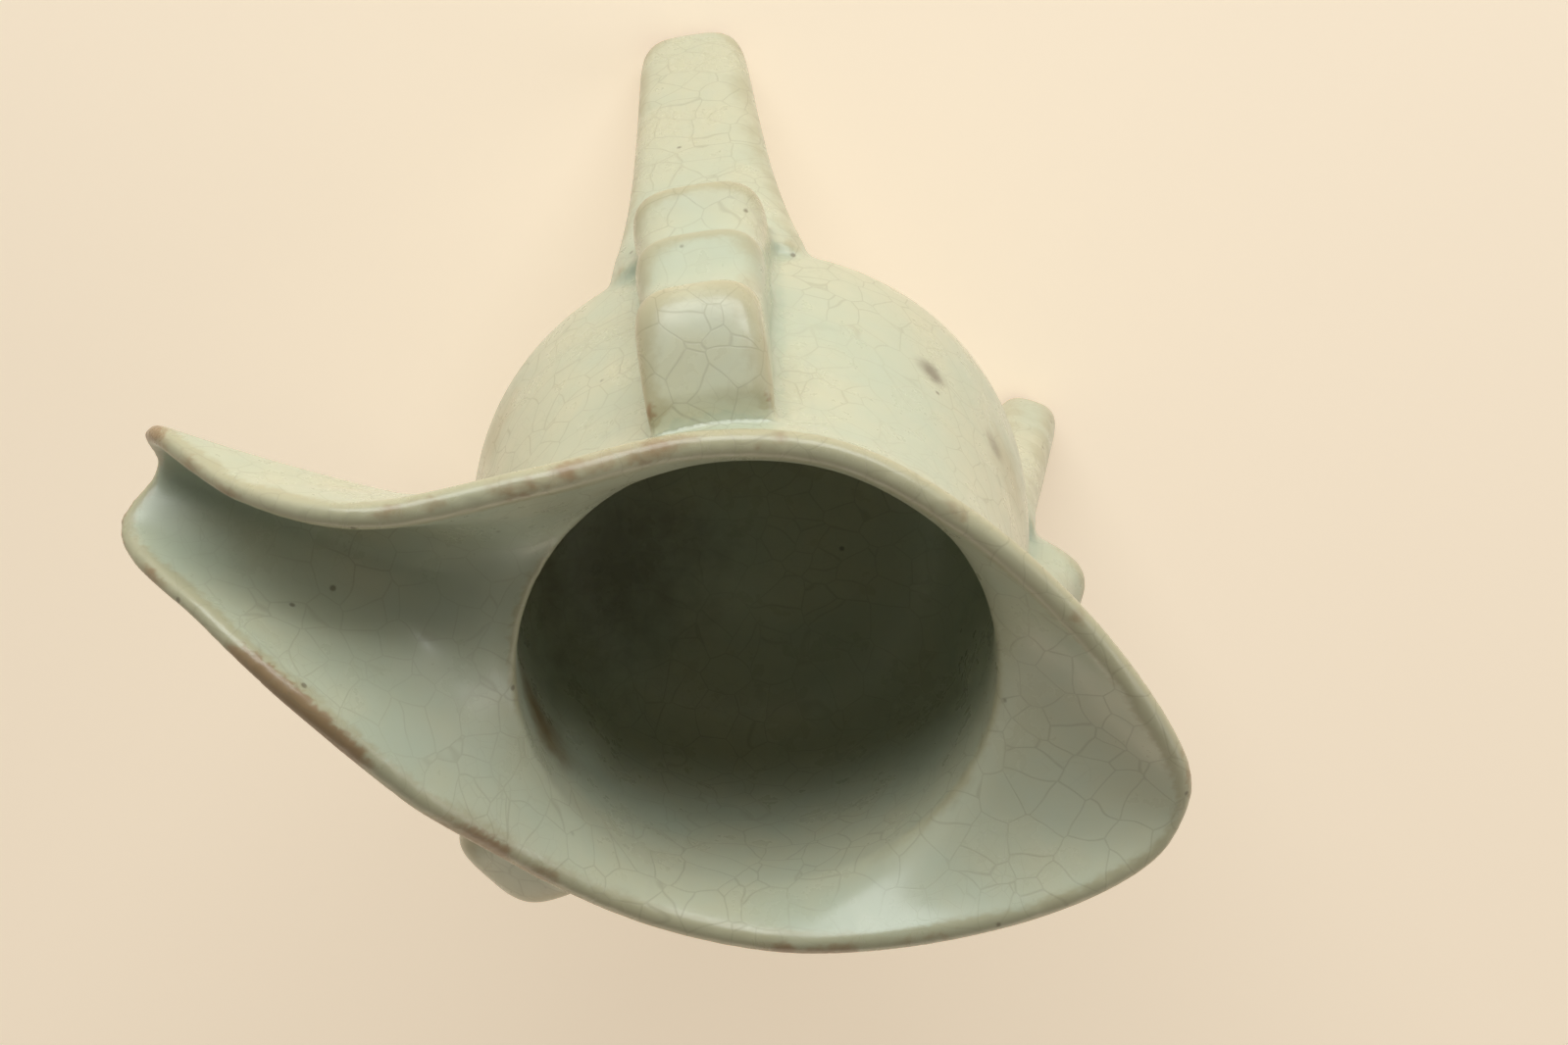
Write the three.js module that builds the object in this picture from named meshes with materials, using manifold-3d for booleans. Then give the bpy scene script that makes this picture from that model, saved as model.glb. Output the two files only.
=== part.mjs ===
// Three-legged ceramic pouring cup with a long open spout, a leaf-shaped tail, three ribbed
// shoulder straps and three splayed legs.  Millimetres, +Z up, feet on z = 0, spout toward +X.
import * as THREE from 'three';
import { mergeVertices } from 'three/addons/utils/BufferGeometryUtils.js';
import Module from 'manifold-3d';

const wasm = await Module();
wasm.setup();

// ---- driving dimensions (mm; "depth" is measured downward from the mouth plane) ----
const MOUTH_PLANE_Z = 126.6;       // height of the mouth plane above the feet
const AXIS_X = -11.57;             // the cup's own axis, so that the whole footprint is centred
const GAP = 0.3;                   // clearance between neighbouring members
const MOUTH_SPLIT_DEPTH = 6.0;     // where the flared mouth is luted onto the thrown cup
const MOUTH_SPLIT_X = 4.0;         // where the spout half meets the tail half
const THROAT_RADIUS = 30.0;
const NECK_RADIUS = 33.7;
const LEG_ANGLES = { left: 62, right: -62, rear: 180 };
const FLOOR_JOINT_DEPTH = 52.0;    // depth at which the turned base begins on the outside
const SEGMENTS_ROUND = 60;
const RIM_STEPS = 60;              // stations along each half of the rim
const MOUTH_SECTION_STEPS = 7;     // facets across each face of the flared mouth
const HALF_GAP = GAP / 2;          // taken off each side of a joint
const INNER_JOINT_DEPTH = 45.0;    // the base joint slants up to this depth on the inside
const JOINT_OUTER_RADIUS = 35.0;   // the slanting joint runs between these two radii
const JOINT_INNER_RADIUS = 33.0;
const BASE_HEIGHT = 16.0;          // from the base joint down to the underside
const BASE_BOTTOM_DEPTH = 68.2;
const FLOOR_INNER_DEPTH = 53.0;    // deepest point inside the cup
const ENVELOPE_TOP_DEPTH = -20.0;  // straps and legs are cleared of the cup up to here
const SPLIT_BOX_REACH = 120.0;     // boxes that part the mouth, larger than the mouth itself
const SPLIT_BOX_HALF_WIDTH = 60.0;
const SPLIT_BOX_HALF_HEIGHT = 40.0;

// thrown cup wall: [depth, outer radius]
const OUTER_PROFILE = [
  [6, 33.7], [12, 34.0], [20, 34.8], [28, 36.0], [36, 37.3], [44, 38.4], [52, 39.0], [57, 38.7],
  [61, 37.0], [64, 34.0], [66.2, 29.0], [67.4, 22.0], [68, 12.0], [68.2, 0],
];
// the same wall inside: [depth, inner radius]
const INNER_PROFILE = [
  [6, 30.0], [12, 30.3], [20, 31.2], [28, 32.2], [36, 32.8], [41, 32.3], [45, 30.6], [48.5, 27.2],
  [51, 22.0], [52.6, 14.0], [53, 0],
];

// half of the rim, tail to spout: [x, half width, rise above the mouth plane, throat angle]
const RIM_STATIONS = [
  [-57.6, 0.0, 1.4, 180], [-56.0, 6.0, 2.0, 166], [-46.7, 15.3, 3.8, 149], [-32.9, 24.4, 4.2, 132],
  [-15.7, 31.7, 3.6, 112], [1.5, 34.5, 2.2, 88], [18.7, 30.9, 4.4, 65], [35.9, 22.7, 10.5, 46],
  [53.1, 13.6, 12.2, 31], [66.8, 9.7, 5.6, 20], [80.4, 7.5, -7.0, 9], [79.6, 0.0, -11.5, 0],
];
const WALL = 3.6;
const LIP_INSET = 2.7;             // from the rim's outer edge in to the start of the lip
const ROOT_RELIEF = 0.05;          // the mouth's flat root face stays clear of the joint cut
const THROAT_TURN_DEPTH = 0.6;     // where the throat wall turns out into the flare
const CHANNEL_SAG = 2.4;           // how far the spout and tail floors sag below a straight line
const FULL_SAG_REACH = 30.0;       // floors shorter than this sag in proportion
const FLOOR_AIM = 0.42;            // where along the floor its curve is steered
const LIP_SHAPE = [[0.2, 0.3], [0.5, 0.42], [0.8, 0.3]];  // [through the wall, beyond it]

// shoulder strap: [depth, outer radius, half width]; the three rib crests stand at 14, 36 and 54
const STRAP_STATIONS = [
  [4.6, 37.4, 7.6], [7.5, 43.0, 7.8], [10.5, 47.2, 7.9], [13.5, 48.8, 8.0], [16.5, 47.9, 8.0],
  [22, 45.0, 7.8], [29, 44.9, 7.9], [33.5, 47.2, 8.3], [36, 48.4, 8.5], [38.8, 47.4, 8.5],
  [44, 45.4, 8.4], [49.5, 46.8, 8.7], [53.5, 49.4, 9.1], [56.2, 48.6, 9.1], [57.6, 47.2, 9.0],
];
const STRAP_INNER_RADIUS = 26.0;
const STRAP_CORNER = 0.56;         // 1 is an ellipse and 0 a rectangle
const LEG_CORNER = 0.62;
const RING_STEPS = 28;

// leg: [depth, outer radius, inner radius, half width]
const LEG_STATIONS = [
  [58, 41.0, 22.0, 14.2], [62, 41.8, 23.5, 13.7], [68, 42.6, 27.5, 12.5], [76, 44.2, 31.0, 11.3],
  [86, 46.4, 34.0, 10.3], [98, 49.0, 37.2, 9.5], [110, 51.5, 40.2, 8.9], [119, 53.4, 42.4, 8.4],
  [123.5, 54.0, 43.4, 7.7], [125.8, 53.2, 44.4, 6.6], [126.6, 51.6, 46.2, 5.0],
];

const GLAZE = 0xc2cab6;
const GLAZE_ROUGHNESS = 0.24;

// ---- helpers ----
const depthToZ = (depth) => MOUTH_PLANE_Z - depth;

function meshFromGrid(rings) {
  // rings of equal length, joined side to side and capped by a fan at each end
  const count = rings[0].length;
  const positions = [];
  const index = [];
  rings.forEach((ring) => ring.forEach((p) => positions.push(p.x, p.y, p.z)));
  for (let i = 0; i + 1 < rings.length; i += 1) {
    for (let j = 0; j < count; j += 1) {
      const k = (j + 1) % count;
      const a = i * count + j;
      const b = i * count + k;
      const c = (i + 1) * count + k;
      const d = (i + 1) * count + j;
      index.push(a, b, c, a, c, d);
    }
  }
  const capCentre = (ring) => {
    const centre = new THREE.Vector3();
    ring.forEach((p) => centre.add(p));
    centre.divideScalar(count);
    positions.push(centre.x, centre.y, centre.z);
    return positions.length / 3 - 1;
  };
  const first = capCentre(rings[0]);
  const last = capCentre(rings[rings.length - 1]);
  const base = (rings.length - 1) * count;
  for (let j = 0; j < count; j += 1) {
    const k = (j + 1) % count;
    index.push(first, k, j);
    index.push(last, base + j, base + k);
  }
  const geometry = new THREE.BufferGeometry();
  geometry.setAttribute('position', new THREE.Float32BufferAttribute(positions, 3));
  geometry.setIndex(index);
  return geometry;
}

function flipFaces(geometry) {
  const index = geometry.getIndex();
  for (let i = 0; i < index.count; i += 3) {
    const a = index.getX(i);
    index.setX(i, index.getX(i + 1));
    index.setX(i + 1, a);
  }
  return geometry;
}

function signedVolume(geometry) {
  const p = geometry.getAttribute('position');
  const index = geometry.getIndex();
  const a = new THREE.Vector3();
  const b = new THREE.Vector3();
  const c = new THREE.Vector3();
  let volume = 0;
  for (let i = 0; i < index.count; i += 3) {
    a.fromBufferAttribute(p, index.getX(i));
    b.fromBufferAttribute(p, index.getX(i + 1));
    c.fromBufferAttribute(p, index.getX(i + 2));
    volume += a.dot(b.cross(c));
  }
  return volume;
}

function toSolid(source) {
  const stripped = source.clone();
  stripped.deleteAttribute('normal');
  stripped.deleteAttribute('uv');
  const geometry = mergeVertices(stripped, 1e-4);
  if (signedVolume(geometry) < 0) flipFaces(geometry);
  return new wasm.Manifold(new wasm.Mesh({
    numProp: 3,
    vertProperties: new Float32Array(geometry.getAttribute('position').array),
    triVerts: new Uint32Array(geometry.getIndex().array),
  }));
}

function toMesh(name, solid) {
  const result = solid.getMesh();
  const geometry = new THREE.BufferGeometry();
  geometry.setAttribute('position', new THREE.BufferAttribute(result.vertProperties, 3));
  geometry.setIndex(new THREE.BufferAttribute(result.triVerts, 1));
  geometry.translate(AXIS_X, 0, 0);
  geometry.computeVertexNormals();
  const material = new THREE.MeshStandardMaterial({
    color: GLAZE, roughness: GLAZE_ROUGHNESS, metalness: 0,
  });
  const mesh = new THREE.Mesh(geometry, material);
  mesh.name = name;
  return mesh;
}

function lathe(points) {
  // points are [radius, z] and the profile starts and ends on the axis or closes on itself
  const profile = points.map(([radius, z]) => new THREE.Vector2(radius, z));
  const geometry = new THREE.LatheGeometry(profile, SEGMENTS_ROUND);
  geometry.rotateX(Math.PI / 2);
  return toSolid(geometry);
}

function trimProfile(profile, fromDepth, toDepth) {
  const radiusAt = (depth) => {
    for (let i = 0; i + 1 < profile.length; i += 1) {
      const [d0, r0] = profile[i];
      const [d1, r1] = profile[i + 1];
      if (depth >= d0 && depth <= d1) return r0 + (r1 - r0) * (depth - d0) / (d1 - d0);
    }
    return profile[profile.length - 1][1];
  };
  const inside = profile.filter(([d]) => d > fromDepth && d < toDepth);
  return [[fromDepth, radiusAt(fromDepth)], ...inside, [toDepth, radiusAt(toDepth)]];
}

function box(low, high) {
  const size = high.map((v, i) => v - low[i]);
  const geometry = new THREE.BoxGeometry(...size);
  geometry.translate(...high.map((v, i) => (v + low[i]) / 2));
  return toSolid(geometry);
}

// ---- the thrown cup and its turned base ----
function outerEnvelope(grow, topDepth) {
  const points = OUTER_PROFILE.map(([depth, radius]) => [
    radius > 0 ? radius + grow : 0,
    depthToZ(depth + (depth > FLOOR_JOINT_DEPTH ? grow * (depth - FLOOR_JOINT_DEPTH) / BASE_HEIGHT : 0)),
  ]);
  const top = depthToZ(topDepth);
  return lathe([[0, top], [NECK_RADIUS + grow, top], ...points]);
}

function cupWall() {
  const top = MOUTH_SPLIT_DEPTH + HALF_GAP;
  const bottom = FLOOR_JOINT_DEPTH - HALF_GAP;
  const outer = trimProfile(OUTER_PROFILE, top, bottom);
  const inner = trimProfile(INNER_PROFILE, top, INNER_JOINT_DEPTH);
  const joint = [[JOINT_OUTER_RADIUS, bottom], [JOINT_INNER_RADIUS, INNER_JOINT_DEPTH]];
  const ring = [
    ...outer.map(([d, r]) => [r, depthToZ(d)]),
    ...joint.map(([r, d]) => [r, depthToZ(d)]),
    ...inner.reverse().map(([d, r]) => [r, depthToZ(d)]),
  ];
  ring.push(ring[0]);
  return lathe(ring);
}

function turnedBase() {
  const top = FLOOR_JOINT_DEPTH + HALF_GAP;
  const outer = trimProfile(OUTER_PROFILE, top, BASE_BOTTOM_DEPTH);
  const inner = trimProfile(INNER_PROFILE, INNER_JOINT_DEPTH + GAP, FLOOR_INNER_DEPTH);
  const shape = [
    ...inner.reverse().map(([d, r]) => [r, depthToZ(d)]),
    [JOINT_INNER_RADIUS - GAP, depthToZ(INNER_JOINT_DEPTH + GAP)],
    [JOINT_OUTER_RADIUS - GAP, depthToZ(top)],
    ...outer.map(([d, r]) => [r, depthToZ(d)]),
  ];
  return lathe(shape);
}

// ---- the flared mouth: spout half and tail half ----
function mouthCurves() {
  // closed control loops: the rim's outer edge, the inner edge of the lip and the throat
  const far = RIM_STATIONS.slice(1, -1).reverse();
  const point = (x, y, z) => new THREE.Vector3(x, y, z);
  const rim = [
    ...RIM_STATIONS.map(([x, w, rise]) => point(x, w, depthToZ(-rise))),
    ...far.map(([x, w, rise]) => point(x, -w, depthToZ(-rise))),
  ];
  const count = rim.length;
  const lip = rim.map((p, i) => {
    const along = rim[(i + 1) % count].clone().sub(rim[(i + count - 1) % count]).setZ(0).normalize();
    return p.clone().add(point(along.y, -along.x, 0).multiplyScalar(LIP_INSET));
  });
  const angles = [...RIM_STATIONS.map((s) => s[3]), ...far.map((s) => -s[3])];
  const throat = angles.map((deg) => {
    const a = THREE.MathUtils.degToRad(deg);
    return point(Math.cos(a), Math.sin(a), 0);
  });
  const loop = (points) => new THREE.CatmullRomCurve3(points, true, 'centripetal');
  return { lip: loop(lip), throat: loop(throat) };
}

function bezier(p0, p1, p2, p3, w) {
  const v = 1 - w;
  return p0.clone().multiplyScalar(v * v * v)
    .addScaledVector(p1, 3 * v * v * w)
    .addScaledVector(p2, 3 * v * w * w)
    .addScaledVector(p3, w * w * w);
}

function innerLine(curves, t) {
  // from the joint up the throat wall and out to the lip
  const lip = curves.lip.getPoint(t);
  const ray = curves.throat.getPoint(t).setZ(0).normalize();
  const at = (depth) => ray.clone().multiplyScalar(THROAT_RADIUS).setZ(depthToZ(depth));
  const reach = at(0).sub(lip).setZ(0).length();
  const turn = at(THROAT_TURN_DEPTH);
  const aim = turn.clone().lerp(lip, FLOOR_AIM);
  aim.z -= Math.min(1, reach / FULL_SAG_REACH) * CHANNEL_SAG;
  const line = [];
  for (let i = 0; i <= MOUTH_SECTION_STEPS; i += 1) {
    line.push(bezier(at(MOUTH_SPLIT_DEPTH - HALF_GAP), turn, aim, lip,
      i / MOUTH_SECTION_STEPS));
  }
  return line;
}

function mouthSection(lines, i) {
  // the inside line, the rounded lip and the outside line one wall thickness away
  const count = lines.length;
  const before = lines[(i + count - 1) % count];
  const after = lines[(i + 1) % count];
  const line = lines[i];
  const last = line.length - 1;
  const normals = line.map((_, j) => {
    const around = after[j].clone().sub(before[j]);
    const along = line[Math.min(j + 1, last)].clone().sub(line[Math.max(j - 1, 0)]);
    return along.cross(around).normalize();
  });
  const outward = new THREE.Vector3(line[0].x, line[0].y, 0);
  if (normals[0].dot(outward) < 0) normals.forEach((n) => n.negate());
  const around = after[last].clone().sub(before[last]);
  const beyond = normals[last].clone().cross(around).normalize();
  if (beyond.dot(line[last].clone().sub(line[last - 1])) < 0) beyond.negate();
  const lipPoint = (through, out) => line[last].clone()
    .addScaledVector(normals[last], WALL * through).addScaledVector(beyond, WALL * out);
  const outside = line.map((p, j) => p.clone().addScaledVector(normals[j], WALL));
  const lip = LIP_SHAPE.map(([through, out]) => lipPoint(through, out));
  return [...line, ...lip, ...outside.reverse()];
}

function wholeMouth() {
  const curves = mouthCurves();
  const lines = [];
  for (let i = 0; i < 2 * RIM_STEPS; i += 1) {
    lines.push(innerLine(curves, i / (2 * RIM_STEPS)));
  }
  const rings = lines.map((_, i) => mouthSection(lines, i));
  const count = rings[0].length;
  const positions = [];
  const index = [];
  rings.forEach((ring) => ring.forEach((p) => positions.push(p.x, p.y, p.z)));
  for (let i = 0; i < rings.length; i += 1) {
    const n = (i + 1) % rings.length;
    for (let j = 0; j < count; j += 1) {
      const k = (j + 1) % count;
      index.push(i * count + j, i * count + k, n * count + k);
      index.push(i * count + j, n * count + k, n * count + j);
    }
  }
  const geometry = new THREE.BufferGeometry();
  geometry.setAttribute('position', new THREE.Float32BufferAttribute(positions, 3));
  geometry.setIndex(index);
  return toSolid(geometry);
}

// ---- applied shoulder straps and legs ----
function roundedRing(outerRadius, innerRadius, halfWidth, depth, angle, corner) {
  // rounded rectangle in a level plane: long way out along the leg's own direction
  const a = THREE.MathUtils.degToRad(angle);
  const out = new THREE.Vector3(Math.cos(a), Math.sin(a), 0);
  const side = new THREE.Vector3(-Math.sin(a), Math.cos(a), 0);
  const halfDepth = (outerRadius - innerRadius) / 2;
  const middle = (outerRadius + innerRadius) / 2;
  const ring = [];
  for (let i = 0; i < RING_STEPS; i += 1) {
    const u = 2 * Math.PI * i / RING_STEPS;
    const soft = (value) => Math.sign(value) * Math.abs(value) ** corner;
    ring.push(new THREE.Vector3()
      .addScaledVector(out, middle + halfDepth * soft(Math.cos(u)))
      .addScaledVector(side, halfWidth * soft(Math.sin(u)))
      .setZ(depthToZ(depth)));
  }
  return ring;
}

function strap(angle, keepOut, mouth) {
  const rings = STRAP_STATIONS.map(([depth, outer, half]) =>
    roundedRing(outer, STRAP_INNER_RADIUS, half, depth, angle, STRAP_CORNER));
  return toSolid(meshFromGrid(rings)).subtract(keepOut).subtract(mouth.translate([0, 0, -GAP]));
}

function leg(angle, keepOut) {
  const rings = LEG_STATIONS.map(([depth, outer, inner, half]) =>
    roundedRing(outer, inner, half, depth, angle, LEG_CORNER));
  return toSolid(meshFromGrid(rings)).subtract(keepOut);
}

// ---- assembly ----
function build() {
  const group = new THREE.Group();
  group.name = 'tripod_pouring_cup';
  const joint = outerEnvelope(GAP, MOUTH_SPLIT_DEPTH - HALF_GAP + ROOT_RELIEF);
  const mouth = wholeMouth().subtract(joint);
  const low = depthToZ(SPLIT_BOX_HALF_HEIGHT);
  const high = depthToZ(-SPLIT_BOX_HALF_HEIGHT);
  const side = SPLIT_BOX_HALF_WIDTH;
  const spoutZone = box([MOUTH_SPLIT_X + HALF_GAP, -side, low], [SPLIT_BOX_REACH, side, high]);
  const tailZone = box([-SPLIT_BOX_REACH, -side, low], [MOUTH_SPLIT_X - HALF_GAP, side, high]);
  const envelope = outerEnvelope(GAP, ENVELOPE_TOP_DEPTH);
  const solids = {
    cup_wall: cupWall(),
    turned_base: turnedBase(),
    spout: mouth.intersect(spoutZone),
    tail: mouth.intersect(tailZone),
  };
  Object.entries(LEG_ANGLES).forEach(([place, angle]) => {
    solids[`shoulder_${place}`] = strap(angle, envelope, mouth);
    solids[`leg_${place}`] = leg(angle, envelope);
  });
  Object.entries(solids).forEach(([name, solid]) => group.add(toMesh(name, solid)));
  return group;
}

const tripodPouringCup = build();

export default tripodPouringCup;
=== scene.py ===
"""Glazed tripod pouring cup: long open spout, leaf-shaped tail, ribbed shoulders, three legs.

The whole glazed skin is built once as a soft-edged surface and then parted along the joints
of the clay members, so that each member is a closed piece and the glaze runs on across joints.
Metres, +Z up, feet on z = 0, spout toward +X.
"""
import math

import bmesh
import bpy
import numpy as np
from mathutils import Matrix, Vector
from mathutils.bvhtree import BVHTree


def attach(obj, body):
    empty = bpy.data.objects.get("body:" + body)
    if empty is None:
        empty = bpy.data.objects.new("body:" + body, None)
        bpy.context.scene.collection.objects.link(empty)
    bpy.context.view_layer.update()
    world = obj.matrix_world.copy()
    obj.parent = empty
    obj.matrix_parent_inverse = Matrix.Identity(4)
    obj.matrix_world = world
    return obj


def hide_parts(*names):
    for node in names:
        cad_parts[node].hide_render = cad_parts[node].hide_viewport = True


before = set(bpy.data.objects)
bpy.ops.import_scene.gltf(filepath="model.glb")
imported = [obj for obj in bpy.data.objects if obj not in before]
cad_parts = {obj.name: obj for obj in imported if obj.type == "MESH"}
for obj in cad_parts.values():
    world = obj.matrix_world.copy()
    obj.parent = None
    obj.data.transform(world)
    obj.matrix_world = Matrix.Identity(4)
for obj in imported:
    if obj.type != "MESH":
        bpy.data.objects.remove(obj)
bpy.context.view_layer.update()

# ---- driving dimensions, millimetres; depth is measured down from the mouth plane ----
MM = 0.001
MOUTH_PLANE_Z = 126.6
AXIS_X = -11.57
THROAT_RADIUS = 30.0
NECK_RADIUS = 33.7
MOUTH_SPLIT_DEPTH = 6.0
MOUTH_SPLIT_X = 4.0
BASE_SPLIT_DEPTH = 52.0
STRAP_END_DEPTH = 57.8
LEG_ANGLES = {"left": 62.0, "right": -62.0, "rear": 180.0}
VOXEL = 0.55
MESH_SMOOTH_STEPS = 16
THINNESS_STEPS = 14
SHARP_ANGLE_DEGREES = 55
LATHE_STEPS = 160
RING_STEPS = 56
LOFT_ROWS = 90
INNER_ROWS = 80
BODY_OVERLAP = 1.5                 # the body's top runs this far up into the flared mouth
MOUTH_OVERLAP = 1.0                # and the mouth's root this far down into the body
FLOOR_INNER_DEPTH = 53.0           # deepest point inside the cup
STRAP_INNER_RADIUS = 31.5          # buried in the wall
STRAP_CORNER = 0.56                # 1 is an ellipse and 0 a rectangle
LEG_CORNER = 0.62
PLUG_INSET = 0.6                   # the parting body is this much inside the skin
PLUG_TOP_DEPTH = -30.0

OUTER_PROFILE = [
    (6, 33.7), (12, 34.0), (20, 34.8), (28, 36.0), (36, 37.3), (44, 38.4), (52, 39.0), (57, 38.7),
    (61, 37.0), (64, 34.0), (66.2, 29.0), (67.4, 22.0), (68, 12.0), (68.2, 0),
]
INNER_PROFILE = [
    (6, 30.0), (12, 30.3), (20, 31.2), (28, 32.2), (36, 32.8), (41, 32.3), (45, 30.6), (48.5, 27.2),
    (51, 22.0), (52.6, 14.0), (53, 0),
]
# half of the rim, tail to spout: x, half width, rise above the mouth plane, throat angle
RIM_STATIONS = [
    (-57.6, 0.0, 1.4, 180), (-56.0, 6.0, 2.0, 166), (-46.7, 15.3, 3.8, 149), (-32.9, 24.4, 4.2, 132),
    (-15.7, 31.7, 3.6, 112), (1.5, 34.5, 2.2, 88), (18.7, 30.9, 4.4, 65), (35.9, 22.7, 10.5, 46),
    (53.1, 13.6, 12.2, 31), (66.8, 9.7, 5.6, 20), (80.4, 7.5, -7.0, 9), (79.6, 0.0, -11.5, 0),
]
WALL = 3.6
SPOUT_END_WALL = 2.5               # the wall thins from x = THIN_FROM_X to x = THIN_TO_X
THIN_FROM_X = 40.0
THIN_TO_X = 74.0
LIP_INSET = 2.7
THROAT_TURN_DEPTH = 0.6
CHANNEL_SAG = 2.4
FULL_SAG_REACH = 30                # floors shorter than this sag in proportion
TURN_SHARE = 0.58                  # the floor's curve is steered between the throat and the lip
LIP_SHARE = 0.42
LIP_STEPS = 8
LIP_BULGE = 0.42                   # how far the lip rounds out, in wall thicknesses
MOUTH_STATIONS = 420
MOUTH_STEPS = 30
# shoulder strap: depth, outer radius, half width
STRAP_STATIONS = [
    (4.6, 37.4, 7.6), (7.5, 43.0, 7.8), (10.5, 47.2, 7.9), (13.5, 48.8, 8.0), (16.5, 47.9, 8.0),
    (22, 45.0, 7.8), (29, 44.9, 7.9), (33.5, 47.2, 8.3), (36, 48.4, 8.5), (38.8, 47.4, 8.5),
    (44, 45.4, 8.4), (49.5, 46.8, 8.7), (53.5, 49.4, 9.1), (56.2, 48.6, 9.1), (59.0, 44.6, 9.0),
]
# leg: depth, outer radius, inner radius, half width
LEG_STATIONS = [
    (55, 40.8, 22.0, 14.0), (58, 41.0, 22.0, 14.2), (62, 41.8, 23.5, 13.7), (68, 42.6, 27.5, 12.5),
    (76, 44.2, 31.0, 11.3), (86, 46.4, 34.0, 10.3), (98, 49.0, 37.2, 9.5), (110, 51.5, 40.2, 8.9),
    (119, 53.4, 42.4, 8.4), (123.5, 54.0, 43.4, 7.7), (125.8, 53.2, 44.4, 6.6), (126.6, 51.6, 46.2, 5.0),
]


# ---- surface, light and camera ----
# linear colours
GLAZE_GREEN = (0.470, 0.505, 0.385, 1)
GLAZE_BUFF = (0.530, 0.520, 0.375, 1)
GLAZE_BLUE = (0.450, 0.525, 0.435, 1)
GLAZE_POOL = (0.340, 0.425, 0.335, 1)
GLAZE_OLIVE = (0.390, 0.345, 0.205, 1)
GLAZE_BROWN = (0.260, 0.140, 0.060, 1)
BARE_CLAY = (0.130, 0.075, 0.045, 1)
CRACK_BROWN = (0.230, 0.200, 0.130, 1)
SPECK_BROWN = (0.090, 0.060, 0.035, 1)
# painted shade: dark brown standing for the shade in a hollow of the inner throat wall
PAINTED_POCKET_SHADE = (0.210, 0.120, 0.035, 1)
STAIN_RED = (0.100, 0.045, 0.020, 1)
SCUFF_GREY = (0.200, 0.180, 0.130, 1)
# stains, scuffs, olive patches and one painted shade patch: (x, y, depth) from the mouth's centre, size,
# strength, colour
STAINS_AND_PAINTED_SHADE = [
    # painted shade: a dark brown patch on the inner throat wall where a hollow's shade falls
    ((22.5, 21.5, 19.0), 11.0, 0.85, PAINTED_POCKET_SHADE),
    ((17.5, 11.0, 51.0), 22.0, 0.45, STAIN_RED),
    ((-12.7, -34.9, 35.2), 3.6, 0.95, SCUFF_GREY),
    ((-24.3, -28.0, 34.8), 3.4, 0.85, SCUFF_GREY),
    ((-27.6, -24.4, 36.0), 9.0, 0.65, GLAZE_OLIVE),
    ((38.3, -4.3, 46.5), 9.0, 0.55, GLAZE_OLIVE),
]
# camera and lights; powers in watts
LENS_MM = 60.8
KEY_POWER = 7.0
FILL_POWER = 1.2
BOUNCE_POWER = 1.1
ROOM_LOW = 0.55
ROOM_HIGH = 0.03
FLOOR_GLOW = 0.34
SENSOR_MM = 36.0
CUP_LEAN_X = -0.029                # how the cup lies before the lens, radians
CUP_LEAN_Y = 0.407
CUP_ROLL_DEGREES = 160.76
CUP_OFFSET = (-3.19, 20.96, 325.16)  # the mouth's centre seen from the lens, millimetres
FLOOR_HALF_METRES = 3.0
LIGHTS_AIM_HEIGHT = 90


# ---------------------------------------------------------------- curves and shells
def smooth_rows(rows, count):
    """Catmull-Rom interpolation through rows of numbers."""
    rows = np.array(rows, float)
    n = len(rows)
    spans = n - 1
    out = []
    for k in range(count):
        t = spans * k / (count - 1)
        i = min(int(t), spans - 1)
        f = t - i
        p = [rows[min(max(i + j - 1, 0), n - 1)] for j in range(4)]
        out.append(0.5 * (2 * p[1] + (p[2] - p[0]) * f
                          + (2 * p[0] - 5 * p[1] + 4 * p[2] - p[3]) * f ** 2
                          + (3 * p[1] - p[0] - 3 * p[2] + p[3]) * f ** 3))
    return np.array(out)


def to_row(points):
    """Cup-axis millimetres (x, y, depth) to row-frame metres."""
    points = np.asarray(points, float)
    return np.stack([
        (points[..., 0] + AXIS_X) * MM, points[..., 1] * MM, (MOUTH_PLANE_Z - points[..., 2]) * MM,
    ], -1)


def new_object(name, verts, faces):
    mesh = bpy.data.meshes.new(name)
    mesh.from_pydata([tuple(v) for v in verts], [], faces)
    mesh.validate()
    obj = bpy.data.objects.new(name, mesh)
    bpy.context.scene.collection.objects.link(obj)
    bm = bmesh.new()
    bm.from_mesh(mesh)
    bmesh.ops.remove_doubles(bm, verts=bm.verts, dist=1e-7)
    bmesh.ops.recalc_face_normals(bm, faces=bm.faces)
    bm.to_mesh(mesh)
    bm.free()
    return obj


def grid_object(name, rings, closed_length=False):
    """Rings of equal length joined side to side; the ends are capped unless the length closes."""
    count = len(rings[0])
    total = len(rings)
    faces = []
    for i in range(total if closed_length else total - 1):
        n = (i + 1) % total
        for j in range(count):
            k = (j + 1) % count
            faces.append((i * count + j, i * count + k, n * count + k, n * count + j))
    if not closed_length:
        faces.append(tuple(range(count)))
        faces.append(tuple(range((total - 1) * count, total * count)))
    return new_object(name, to_row(np.concatenate(rings)), faces)


def lathe_object(name, profile):
    """profile: (radius, depth) rows of a closed section beside the axis or ending on it."""
    rings = []
    for k in range(LATHE_STEPS):
        a = 2 * math.pi * k / LATHE_STEPS
        rings.append(np.array([(r * math.cos(a), r * math.sin(a), d) for r, d in profile]))
    verts = to_row(np.concatenate(rings))
    count = len(profile)
    faces = []
    for i in range(LATHE_STEPS):
        n = (i + 1) % LATHE_STEPS
        for j in range(count - 1):
            faces.append((i * count + j, i * count + j + 1, n * count + j + 1, n * count + j))
    return new_object(name, verts, faces)


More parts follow.
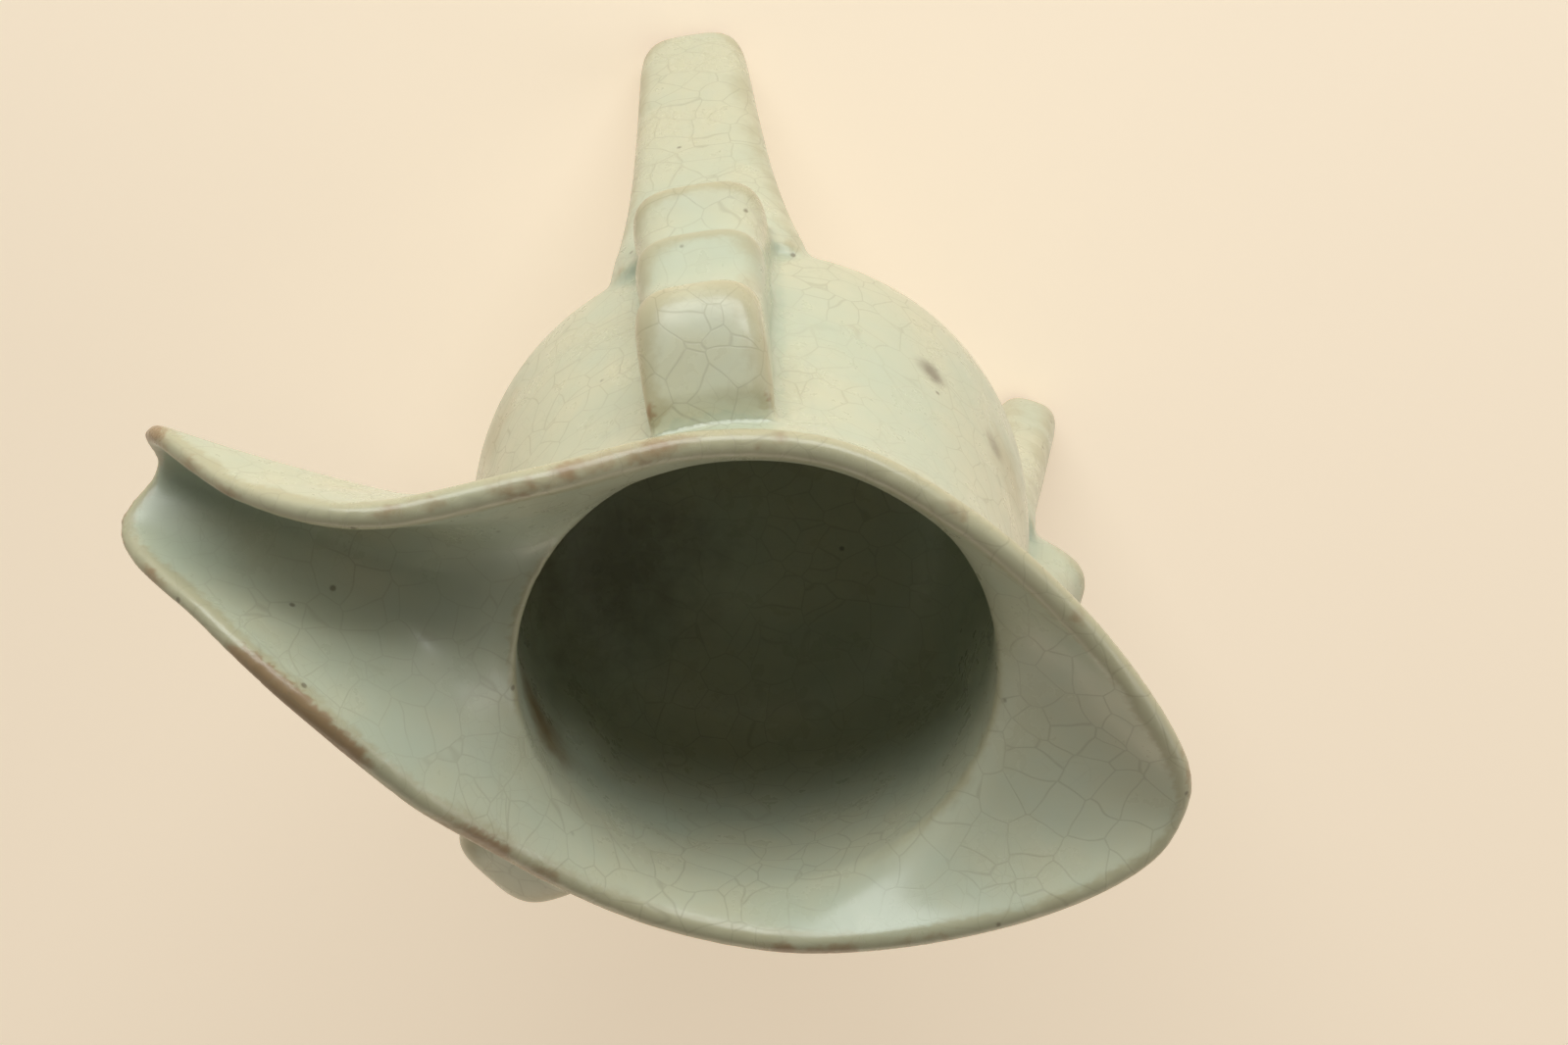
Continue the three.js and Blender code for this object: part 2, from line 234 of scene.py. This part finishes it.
def cup_body():
    outer = smooth_rows(OUTER_PROFILE, LOFT_ROWS)
    inner = smooth_rows(INNER_PROFILE, INNER_ROWS)
    top = MOUTH_SPLIT_DEPTH - BODY_OVERLAP
    profile = [(0.0, FLOOR_INNER_DEPTH)] + [(max(r, 0), d) for d, r in inner[::-1][1:]]
    profile += [(THROAT_RADIUS, top), (NECK_RADIUS, top)]
    profile += [(max(r, 0), d) for d, r in outer]
    return lathe_object("body_shell", profile)


def bezier(p0, p1, p2, p3, w):
    v = 1 - w
    return p0 * v ** 3 + p1 * 3 * v * v * w + p2 * 3 * v * w * w + p3 * w ** 3


def centripetal_loop(points, count):
    """A closed centripetal Catmull-Rom curve, which has no loops at tight corners."""
    points = np.array(points, float)
    n = len(points)
    out = []
    for k in range(count):
        t = n * k / count
        i = int(t)
        f = t - i
        p0, p1, p2, p3 = [points[(i + j - 1) % n] for j in range(4)]
        d0, d1, d2 = [max(np.linalg.norm(b - a), 1e-6) ** 0.5 for a, b in ((p0, p1), (p1, p2), (p2, p3))]
        m1 = ((p1 - p0) / d0 - (p2 - p0) / (d0 + d1) + (p2 - p1) / d1) * d1
        m2 = ((p2 - p1) / d1 - (p3 - p1) / (d1 + d2) + (p3 - p2) / d2) * d1
        out.append(p1 + m1 * f + (3 * (p2 - p1) - 2 * m1 - m2) * f ** 2
                   + (2 * (p1 - p2) + m1 + m2) * f ** 3)
    return np.array(out)


def mouth_lines(stations):
    """Lines up the throat wall and out to the inner edge of the lip, right round the mouth."""
    far = RIM_STATIONS[1:-1][::-1]
    rim = np.array([(x, w, -rise) for x, w, rise, _ in RIM_STATIONS]
                   + [(x, -w, -rise) for x, w, rise, _ in far], float)
    along = np.roll(rim, -1, 0) - np.roll(rim, 1, 0)
    along[:, 2] = 0
    along /= np.linalg.norm(along, axis=1)[:, None]
    lip = rim + np.stack([along[:, 1], -along[:, 0], along[:, 2]], 1) * LIP_INSET
    angles = [a for *_, a in RIM_STATIONS] + [-a for *_, a in far]
    throat = [(math.cos(math.radians(a)), math.sin(math.radians(a)), 0) for a in angles]
    lines = []
    for end, ray in zip(centripetal_loop(lip, stations), centripetal_loop(throat, stations)):
        ray = ray / np.linalg.norm(ray) * THROAT_RADIUS
        root = np.array([ray[0], ray[1], MOUTH_SPLIT_DEPTH + MOUTH_OVERLAP])
        turn = np.array([ray[0], ray[1], THROAT_TURN_DEPTH])
        reach = math.hypot(end[0] - ray[0], end[1] - ray[1])
        aim = turn * TURN_SHARE + end * LIP_SHARE
        aim[2] += min(1.0, reach / FULL_SAG_REACH) * CHANNEL_SAG
        lines.append([bezier(root, turn, aim, end, i / MOUTH_STEPS) for i in range(MOUTH_STEPS + 1)])
    return np.array(lines)


def mouth_shell():
    """The flared mouth: the inner face, a rounded lip, and the outer face a wall away."""
    inner = mouth_lines(MOUTH_STATIONS)
    around = np.roll(inner, -1, 0) - np.roll(inner, 1, 0)
    along = np.gradient(inner, axis=1)
    normal = np.cross(along, around)
    normal /= np.linalg.norm(normal, axis=2)[..., None]
    if (normal[0, 0, :2] * inner[0, 0, :2]).sum() < 0:
        normal = -normal
    beyond = np.cross(normal[:, -1], around[:, -1])
    beyond /= np.linalg.norm(beyond, axis=1)[:, None]
    beyond *= np.sign((beyond * along[:, -1]).sum(1))[:, None]
    far_out = np.clip((inner[..., 0] - THIN_FROM_X) / (THIN_TO_X - THIN_FROM_X), 0, 1)
    wall = WALL - (WALL - SPOUT_END_WALL) * far_out * far_out * (3 - 2 * far_out)
    rings = []
    for k in range(MOUTH_STATIONS):
        ring = list(inner[k])
        edge = wall[k, -1]
        for step in range(1, LIP_STEPS):
            a = math.pi * step / LIP_STEPS
            ring.append(inner[k, -1] + normal[k, -1] * edge * (1 - math.cos(a)) / 2
                        + beyond[k] * edge * LIP_BULGE * math.sin(a))
        ring += list((inner[k] + normal[k] * wall[k][:, None])[::-1])
        rings.append(np.array(ring))
    return grid_object("mouth_shell", rings, closed_length=True)


def rounded_ring(outer, inner, half, depth, angle, corner):
    a = math.radians(angle)
    out = np.array([math.cos(a), math.sin(a), 0])
    side = np.array([-math.sin(a), math.cos(a), 0])
    middle = (outer + inner) / 2
    half_depth = (outer - inner) / 2
    ring = []
    for i in range(RING_STEPS):
        u = 2 * math.pi * i / RING_STEPS
        c = math.cos(u)
        s = math.sin(u)
        c = math.copysign(abs(c) ** corner, c)
        s = math.copysign(abs(s) ** corner, s)
        ring.append(out * (middle + half_depth * c) + side * half * s + np.array([0, 0, depth]))
    return np.array(ring)


def strap_shell(side, angle):
    rows = smooth_rows(STRAP_STATIONS, LOFT_ROWS)
    rings = [rounded_ring(r, STRAP_INNER_RADIUS, w, d, angle, STRAP_CORNER) for d, r, w in rows]
    return grid_object("strap_shell_" + side, rings)


def leg_shell(side, angle):
    rows = smooth_rows(LEG_STATIONS, LOFT_ROWS)
    rings = [rounded_ring(ro, ri, w, d, angle, LEG_CORNER) for d, ro, ri, w in rows]
    return grid_object("leg_shell_" + side, rings)


# ---------------------------------------------------------------- one fused skin
def apply_modifier(obj, kind, **settings):
    bpy.context.view_layer.objects.active = obj
    mod = obj.modifiers.new(kind.lower(), kind)
    for key, value in settings.items():
        setattr(mod, key, value)
    bpy.ops.object.modifier_apply(modifier=mod.name)


def mesh_arrays(mesh):
    co = np.empty(len(mesh.vertices) * 3)
    mesh.vertices.foreach_get("co", co)
    edges = np.empty(len(mesh.edges) * 2, int)
    mesh.edges.foreach_get("vertices", edges)
    return co.reshape(-1, 3), edges.reshape(-1, 2)


def averaged(values, edges, degree):
    """Mean of each point's neighbours, column by column."""
    near = np.concatenate([edges[:, 0], edges[:, 1]])
    far = np.concatenate([edges[:, 1], edges[:, 0]])
    columns = [np.bincount(near, values[far, c], len(values)) for c in range(values.shape[1])]
    return np.stack(columns, 1) / degree


def fuse(shells):
    """Joins the overlapping shells and rebuilds them as one even skin."""
    bpy.ops.object.select_all(action="DESELECT")
    for shell in shells:
        shell.select_set(True)
    bpy.context.view_layer.objects.active = shells[0]
    bpy.ops.object.join()
    body = shells[0]
    apply_modifier(body, "REMESH", mode="VOXEL", voxel_size=VOXEL * MM)
    return body


def soften(mesh, steps):
    """Taubin smoothing: rounds the joints like run glaze without shrinking the walls."""
    co, edges = mesh_arrays(mesh)
    degree = np.bincount(edges.ravel(), minlength=len(co)).astype(float)[:, None]
    for _ in range(steps):
        co += 0.55 * (averaged(co, edges, degree) - co)
        co += -0.30 * (averaged(co, edges, degree) - co)
    mesh.vertices.foreach_set("co", co.ravel())
    mesh.update()


def thinness(mesh, steps):
    """Signed convexity in millimetres: positive on ridges and lips, negative in hollows."""
    co, edges = mesh_arrays(mesh)
    degree = np.bincount(edges.ravel(), minlength=len(co)).astype(float)[:, None]
    normals = np.empty(len(co) * 3)
    mesh.vertices.foreach_get("normal", normals)
    normals = normals.reshape(-1, 3)
    moved = co.copy()
    for _ in range(steps):
        moved += 0.8 * (averaged(moved, edges, degree) - moved)
    value = ((co - moved) * normals).sum(1) / MM
    for _ in range(3):
        value = averaged(value[:, None], edges, degree)[:, 0]
    return value


# ---------------------------------------------------------------- parting into members
def wedge_box(name, low, high, angle=0.0):
    """A box in cup-axis millimetres, turned about the cup's axis."""
    a = math.radians(angle)
    corners = []
    for x in (low[0], high[0]):
        for y in (low[1], high[1]):
            for d in (low[2], high[2]):
                corners.append((x * math.cos(a) - y * math.sin(a), x * math.sin(a) + y * math.cos(a), d))
    faces = [(0, 1, 3, 2), (4, 6, 7, 5), (0, 4, 5, 1), (2, 3, 7, 6), (0, 2, 6, 4), (1, 5, 7, 3)]
    return new_object(name, to_row(corners), faces)


def spout_zone():
    """The mouth's front half, and below it the drooping end of the spout clear of the body."""
    outline = [(MOUTH_SPLIT_X, -40), (120, -40), (120, 32), (38.5, 32), (36.2, 14),
               (34.6, MOUTH_SPLIT_DEPTH), (MOUTH_SPLIT_X, MOUTH_SPLIT_DEPTH)]
    verts = [(x, y, d) for y in (-60, 60) for x, d in outline]
    n = len(outline)
    faces = [tuple(range(n)), tuple(range(n, 2 * n))]
    faces += [(i, (i + 1) % n, n + (i + 1) % n, n + i) for i in range(n)]
    return new_object("zone", to_row(verts), faces)


def copy_of(obj, name):
    twin = obj.copy()
    twin.data = obj.data.copy()
    twin.name = name
    twin.data.name = name
    bpy.context.scene.collection.objects.link(twin)
    return twin


def cut(obj, tool, operation):
    apply_modifier(obj, "BOOLEAN", operation=operation, object=tool, solver="MANIFOLD")


def body_plug():
    """The thrown body's own volume: what it leaves outside itself is strap or leg."""
    outer = smooth_rows(OUTER_PROFILE, LOFT_ROWS)
    profile = [(0.0, PLUG_TOP_DEPTH), (NECK_RADIUS - PLUG_INSET, PLUG_TOP_DEPTH)]
    # below depth 40 the plug also draws in from underneath, fully by the base 28 mm lower
    profile += [(max(r - PLUG_INSET, 0), d - PLUG_INSET * (d - 40) / 28 * (d > 40)) for d, r in outer]
    return lathe_object("body_plug", profile)


def part_members(skin):
    """Closed pieces, one for each clay member, whose outside is the fused skin."""
    plug = body_plug()
    pieces = {}
    rest = copy_of(skin, "rest")
    for side, angle in LEG_ANGLES.items():
        for kind, top, bottom, half in (
            ("shoulder", 4.4, STRAP_END_DEPTH, 12.0), ("leg", STRAP_END_DEPTH, 130.0, 20.0),
        ):
            zone = wedge_box("zone", (24, -half, top), (70, half, bottom), angle)
            cut(zone, plug, "DIFFERENCE")
            piece = copy_of(rest, f"{kind}_{side}_glazed")
            cut(piece, zone, "INTERSECT")
            cut(rest, zone, "DIFFERENCE")
            bpy.data.objects.remove(zone)
            pieces[f"{kind}_{side}"] = piece
    zones = {
        "spout": None,
        "tail": ((-120, -60, -40), (MOUTH_SPLIT_X, 60, MOUTH_SPLIT_DEPTH)),
        "cup_wall": ((-60, -60, MOUTH_SPLIT_DEPTH), (60, 60, BASE_SPLIT_DEPTH)),
        "turned_base": ((-60, -60, BASE_SPLIT_DEPTH), (60, 60, 90)),
    }
    for node, reach in zones.items():
        zone = wedge_box("zone", *reach) if reach else spout_zone()
        piece = copy_of(rest, node + "_glazed")
        cut(piece, zone, "INTERSECT")
        cut(rest, zone, "DIFFERENCE")
        bpy.data.objects.remove(zone)
        pieces[node] = piece
    bpy.data.objects.remove(rest)
    bpy.data.objects.remove(plug)
    return pieces


def carry_thinness(piece, skin_tree, skin_faces, values):
    """Reads the skin's thinness at each of the piece's points."""
    out = np.zeros(len(piece.data.vertices), np.float32)
    for i, v in enumerate(piece.data.vertices):
        _, _, face, _ = skin_tree.find_nearest(v.co)
        out[i] = values[skin_faces[face]].mean()
    attribute = piece.data.attributes.new("thin", "FLOAT", "POINT")
    attribute.data.foreach_set("value", out)


# ---------------------------------------------------------------- glaze
def glaze_material():
    mat = bpy.data.materials.new("celadon_crackle_glaze")
    mat.use_nodes = True
    nodes = mat.node_tree.nodes
    links = mat.node_tree.links
    shader = nodes["Principled BSDF"]
    coords = nodes.new("ShaderNodeTexCoord").outputs["Object"]

    def noise(scale, detail=3.0, rough=0.5, vector=None):
        n = nodes.new("ShaderNodeTexNoise")
        n.inputs["Scale"].default_value = scale
        n.inputs["Detail"].default_value = detail
        n.inputs["Roughness"].default_value = rough
        links.new(vector or coords, n.inputs["Vector"])
        return n

    def mapped(value, lo, hi, out_lo=0.0, out_hi=1.0, smooth=True):
        m = nodes.new("ShaderNodeMapRange")
        m.interpolation_type = "SMOOTHSTEP" if smooth else "LINEAR"
        m.inputs["From Min"].default_value = lo
        m.inputs["From Max"].default_value = hi
        m.inputs["To Min"].default_value = out_lo
        m.inputs["To Max"].default_value = out_hi
        links.new(value, m.inputs["Value"])
        return m.outputs["Result"]

    def math_node(op, a, b):
        m = nodes.new("ShaderNodeMath")
        m.operation = op
        for socket, value in zip(m.inputs, (a, b)):
            if isinstance(value, (int, float)):
                socket.default_value = value
            else:
                links.new(value, socket)
        return m.outputs[0]

    def mix(fac, a, b, mode="MIX"):
        m = nodes.new("ShaderNodeMix")
        m.data_type = "RGBA"
        m.blend_type = mode
        for key, value in (("Factor", fac), ("A", a), ("B", b)):
            socket = [s for s in m.inputs if s.name == key and s.enabled][0]
            if isinstance(value, (int, float, tuple)):
                socket.default_value = value
            else:
                links.new(value, socket)
        return [s for s in m.outputs if s.enabled][0]

    thin_node = nodes.new("ShaderNodeAttribute")
    thin_node.attribute_name = "thin"
    thin = thin_node.outputs["Fac"]
    broad = noise(28.0, 4.0, 0.55).outputs["Fac"]
    mottled = noise(140.0, 5.0, 0.6).outputs["Fac"]
    fine = noise(900.0, 3.0, 0.6).outputs["Fac"]

    # ground colour: grey-green with slow bluish and buff clouds
    colour = mix(mapped(broad, 0.38, 0.64), GLAZE_GREEN, GLAZE_BUFF)
    colour = mix(mapped(mottled, 0.35, 0.7, 0.0, 0.22), colour, GLAZE_BLUE)
    # glaze pools bluish in hollows and thins olive, then brown, on edges
    pool = mapped(thin, -0.03, -0.17)
    colour = mix(math_node("MULTIPLY", pool, 0.32), colour, GLAZE_POOL)
    worn = math_node("ADD", thin, mapped(mottled, 0.3, 0.7, -0.05, 0.05))
    colour = mix(mapped(worn, 0.05, 0.21, 0.0, 0.62), colour, GLAZE_OLIVE)
    patchy = noise(60.0, 4.0).outputs["Fac"]
    rust = math_node("ADD", thin, mapped(patchy, 0.38, 0.66, -0.12, 0.03))
    rust = math_node("ADD", rust, mapped(mottled, 0.35, 0.65, -0.03, 0.03))
    colour = mix(mapped(rust, 0.225, 0.32, 0.0, 0.75), colour, GLAZE_BROWN)
    # the feet were wiped clean of glaze: dark, iron-rich clay
    height_parts = nodes.new("ShaderNodeSeparateXYZ")
    links.new(coords, height_parts.inputs[0])
    foot_line = math_node("ADD", height_parts.outputs["Z"], mapped(mottled, 0.3, 0.7, -0.0006, 0.0006))
    bare = mapped(foot_line, 0.0016, 0.0010)
    colour = mix(math_node("MULTIPLY", bare, 0.9), colour, BARE_CLAY)

    # crackle: two nets of fine cracks whose lines are warped
    warp = nodes.new("ShaderNodeVectorMath")
    warp.operation = "MULTIPLY_ADD"
    links.new(noise(70.0, 2.0).outputs["Color"], warp.inputs[0])
    warp.inputs[1].default_value = (0.006, 0.006, 0.006)
    links.new(coords, warp.inputs[2])

    def crack_net(scale, width):
        v = nodes.new("ShaderNodeTexVoronoi")
        v.feature = "DISTANCE_TO_EDGE"
        v.inputs["Scale"].default_value = scale
        links.new(warp.outputs[0], v.inputs["Vector"])
        return mapped(v.outputs["Distance"], 0.0, width, 1.0, 0.0)

    coarse = math_node("MULTIPLY", crack_net(205.0, 0.034), mapped(broad, 0.35, 0.6, 0.2, 0.85))
    small = math_node("MULTIPLY", crack_net(470.0, 0.045), mapped(patchy, 0.45, 0.65, 0.0, 0.4))
    cracks = math_node("MAXIMUM", coarse, small)
    colour = mix(math_node("MULTIPLY", cracks, 0.32), colour, CRACK_BROWN)

    # pinholes and iron specks
    specks = nodes.new("ShaderNodeTexVoronoi")
    specks.inputs["Scale"].default_value = 240.0
    links.new(coords, specks.inputs["Vector"])
    rare = nodes.new("ShaderNodeSeparateColor")
    links.new(specks.outputs["Color"], rare.inputs[0])
    dot = math_node("MULTIPLY", mapped(specks.outputs["Distance"], 0.05, 0.13, 1.0, 0.0),
                    mapped(rare.outputs[0], 0.90, 0.92))
    colour = mix(math_node("MULTIPLY", dot, 0.6), colour, SPECK_BROWN)

    # stains, scuffs, olive patches and one painted shade patch, a dark brown ball on the inner throat
    # wall standing for the shade in a hollow there:
    # each is a ball of colour, so where the wall is thinner than the ball it also shows on the wall's
    # other face
    for centre, size, strength, tint in STAINS_AND_PAINTED_SHADE:
        field = nodes.new("ShaderNodeVectorMath")
        field.operation = "DISTANCE"
        shifted = nodes.new("ShaderNodeVectorMath")
        shifted.operation = "MULTIPLY_ADD"
        links.new(noise(230.0, 4.0, 0.65).outputs["Color"], shifted.inputs[0])
        shifted.inputs[1].default_value = (size * MM,) * 3
        links.new(coords, shifted.inputs[2])
        links.new(shifted.outputs[0], field.inputs[0])
        middle = to_row(centre) + size * MM * 0.5
        field.inputs[1].default_value = tuple(middle)
        spot = mapped(field.outputs["Value"], size * MM * 0.1, size * MM, 1.0, 0.0)
        colour = mix(math_node("MULTIPLY", spot, strength), colour, tint)
    links.new(colour, shader.inputs["Base Color"])

    rough = math_node("ADD", mapped(mottled, 0.3, 0.7, 0.24, 0.40), math_node("MULTIPLY", cracks, 0.12))
    rough = math_node("ADD", rough, math_node("MULTIPLY", bare, 0.4))
    links.new(rough, shader.inputs["Roughness"])
    shader.inputs["IOR"].default_value = 1.5
    shader.inputs["Subsurface Weight"].default_value = 0.12
    shader.inputs["Subsurface Radius"].default_value = (0.9, 1.0, 0.7)
    shader.inputs["Subsurface Scale"].default_value = 0.0012
    shader.inputs["Coat Weight"].default_value = 0.15
    shader.inputs["Coat Roughness"].default_value = 0.12

    wave = noise(24.0, 0.5, 0.4).outputs["Fac"]
    ripple = noise(95.0, 0.5, 0.4).outputs["Fac"]
    height = math_node("ADD", math_node("MULTIPLY", wave, 0.8), math_node("MULTIPLY", ripple, 0.07))
    height = math_node("ADD", height, math_node("MULTIPLY", fine, 0.002))
    height = math_node("SUBTRACT", height, math_node("MULTIPLY", cracks, 0.02))
    height = math_node("SUBTRACT", height, math_node("MULTIPLY", dot, 0.06))
    bump = nodes.new("ShaderNodeBump")
    bump.inputs["Strength"].default_value = 0.5
    bump.inputs["Distance"].default_value = 0.0012
    links.new(height, bump.inputs["Height"])
    links.new(bump.outputs["Normal"], shader.inputs["Normal"])
    return mat


# ---------------------------------------------------------------- stage, light and camera
def plain_material(name, colour, rough=0.6):
    mat = bpy.data.materials.new(name)
    mat.use_nodes = True
    shader = mat.node_tree.nodes["Principled BSDF"]
    shader.inputs["Base Color"].default_value = colour
    shader.inputs["Roughness"].default_value = rough
    return mat


def view_axes():
    """Camera position and axes in the row frame, from the pose of the cup before the lens."""
    lean_x = CUP_LEAN_X
    lean_y = CUP_LEAN_Y
    offset = np.array(CUP_OFFSET)
    u = np.array([math.sin(lean_x), -math.sin(lean_y) * math.cos(lean_x),
                  math.cos(lean_y) * math.cos(lean_x)])
    ex = np.array([1.0, 0, 0]) - u[0] * u
    ex /= np.linalg.norm(ex)
    up = np.cross(u, ex)
    if up[1] > 0:
        up = -up
    t = math.radians(CUP_ROLL_DEGREES)
    ax = math.cos(t) * ex + math.sin(t) * up
    ay = np.cross(-u, ax)
    basis = np.array([ax, ay, -u])
    position = basis @ -offset
    position = np.array([position[0] + AXIS_X, position[1], position[2] + MOUTH_PLANE_Z]) * MM
    right = basis @ np.array([1.0, 0, 0])
    upward = basis @ np.array([0, -1.0, 0])
    forward = basis @ np.array([0, 0, 1.0])
    return position, right, upward, forward


def place_camera():
    position, right, upward, forward = view_axes()
    data = bpy.data.cameras.new("view")
    data.lens = LENS_MM
    data.sensor_width = SENSOR_MM
    data.clip_start = 0.01
    cam = bpy.data.objects.new("view", data)
    m = Matrix.Identity(4)
    for i in range(3):
        m[i][0] = right[i]
        m[i][1] = upward[i]
        m[i][2] = -forward[i]
        m[i][3] = position[i]
    cam.matrix_world = m
    bpy.context.scene.collection.objects.link(cam)
    bpy.context.scene.camera = cam
    return position, right, upward, forward


def area_light(name, place, aim, size, power, colour):
    data = bpy.data.lights.new(name, "AREA")
    data.shape = "RECTANGLE"
    data.size, data.size_y = size
    data.energy = power
    data.color = colour
    obj = bpy.data.objects.new(name, data)
    obj.location = Vector(place)
    obj.rotation_euler = (Vector(aim) - Vector(place)).to_track_quat("-Z", "Y").to_euler()
    bpy.context.scene.collection.objects.link(obj)
    return obj


def build_stage(axes):
    _, right, upward, _ = axes
    floor_mesh = bpy.data.meshes.new("floor")
    half = FLOOR_HALF_METRES
    floor_mesh.from_pydata([(-half, -half, 0), (half, -half, 0), (half, half, 0), (-half, half, 0)],
                           [], [(0, 1, 2, 3)])
    floor = bpy.data.objects.new("floor", floor_mesh)
    pale = plain_material("pale_floor", (0.88, 0.76, 0.62, 1))
    glow = pale.node_tree.nodes["Principled BSDF"].inputs
    glow["Emission Color"].default_value = (1.0, 0.83, 0.63, 1)
    glow["Emission Strength"].default_value = FLOOR_GLOW
    floor_mesh.materials.append(pale)
    bpy.context.scene.collection.objects.link(floor)
    centre = np.array([AXIS_X, 0, LIGHTS_AIM_HEIGHT]) * MM
    side = np.array([upward[0], upward[1], 0])
    side /= np.linalg.norm(side)
    over = np.array([0, 0, 1.0])
    key = centre + side * 0.80 + over * 0.30
    area_light("key", key, centre, (1.0, 0.5), KEY_POWER, (0.95, 1.0, 1.0))
    fill = centre + right * 0.9 + over * 0.35
    area_light("fill", fill, centre, (0.8, 0.4), FILL_POWER, (0.97, 0.98, 1.0))
    bounce = centre - side * 0.70 + over * 0.12
    area_light("bounce", bounce, centre, (1.0, 0.35), BOUNCE_POWER, (1.0, 0.84, 0.64))
    world = bpy.data.worlds.new("soft_room")
    world.use_nodes = True
    nodes = world.node_tree.nodes
    links = world.node_tree.links
    direction = nodes.new("ShaderNodeTexCoord")
    parts = nodes.new("ShaderNodeSeparateXYZ")
    links.new(direction.outputs["Generated"], parts.inputs[0])
    band = nodes.new("ShaderNodeMapRange")
    band.interpolation_type = "SMOOTHSTEP"
    band.inputs["From Min"].default_value = 0.35
    band.inputs["From Max"].default_value = 0.85
    band.inputs["To Min"].default_value = ROOM_LOW
    band.inputs["To Max"].default_value = ROOM_HIGH
    links.new(parts.outputs["Z"], band.inputs["Value"])
    nodes["Background"].inputs["Color"].default_value = (1.0, 0.94, 0.82, 1)
    links.new(band.outputs["Result"], nodes["Background"].inputs["Strength"])
    bpy.context.scene.world = world


# ---------------------------------------------------------------- build
def build_cup():
    shells = [cup_body(), mouth_shell()]
    for side, angle in LEG_ANGLES.items():
        shells.append(strap_shell(side, angle))
        shells.append(leg_shell(side, angle))
    skin = fuse(shells)
    soften(skin.data, MESH_SMOOTH_STEPS)
    values = thinness(skin.data, THINNESS_STEPS)
    glaze = glaze_material()
    pieces = part_members(skin)
    tree = BVHTree.FromObject(skin, bpy.context.evaluated_depsgraph_get())
    skin_faces = [list(p.vertices) for p in skin.data.polygons]
    for node, piece in pieces.items():
        carry_thinness(piece, tree, skin_faces, values)
        piece.data.materials.clear()
        piece.data.materials.append(glaze)
        piece.data.polygons.foreach_set("use_smooth", [True] * len(piece.data.polygons))
        piece.data.set_sharp_from_angle(angle=math.radians(SHARP_ANGLE_DEGREES))
        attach(piece, "root")
        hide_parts(node)
    bpy.data.objects.remove(skin)
    return pieces


build_cup()
bpy.context.scene.view_settings.view_transform = "Standard"
build_stage(place_camera())
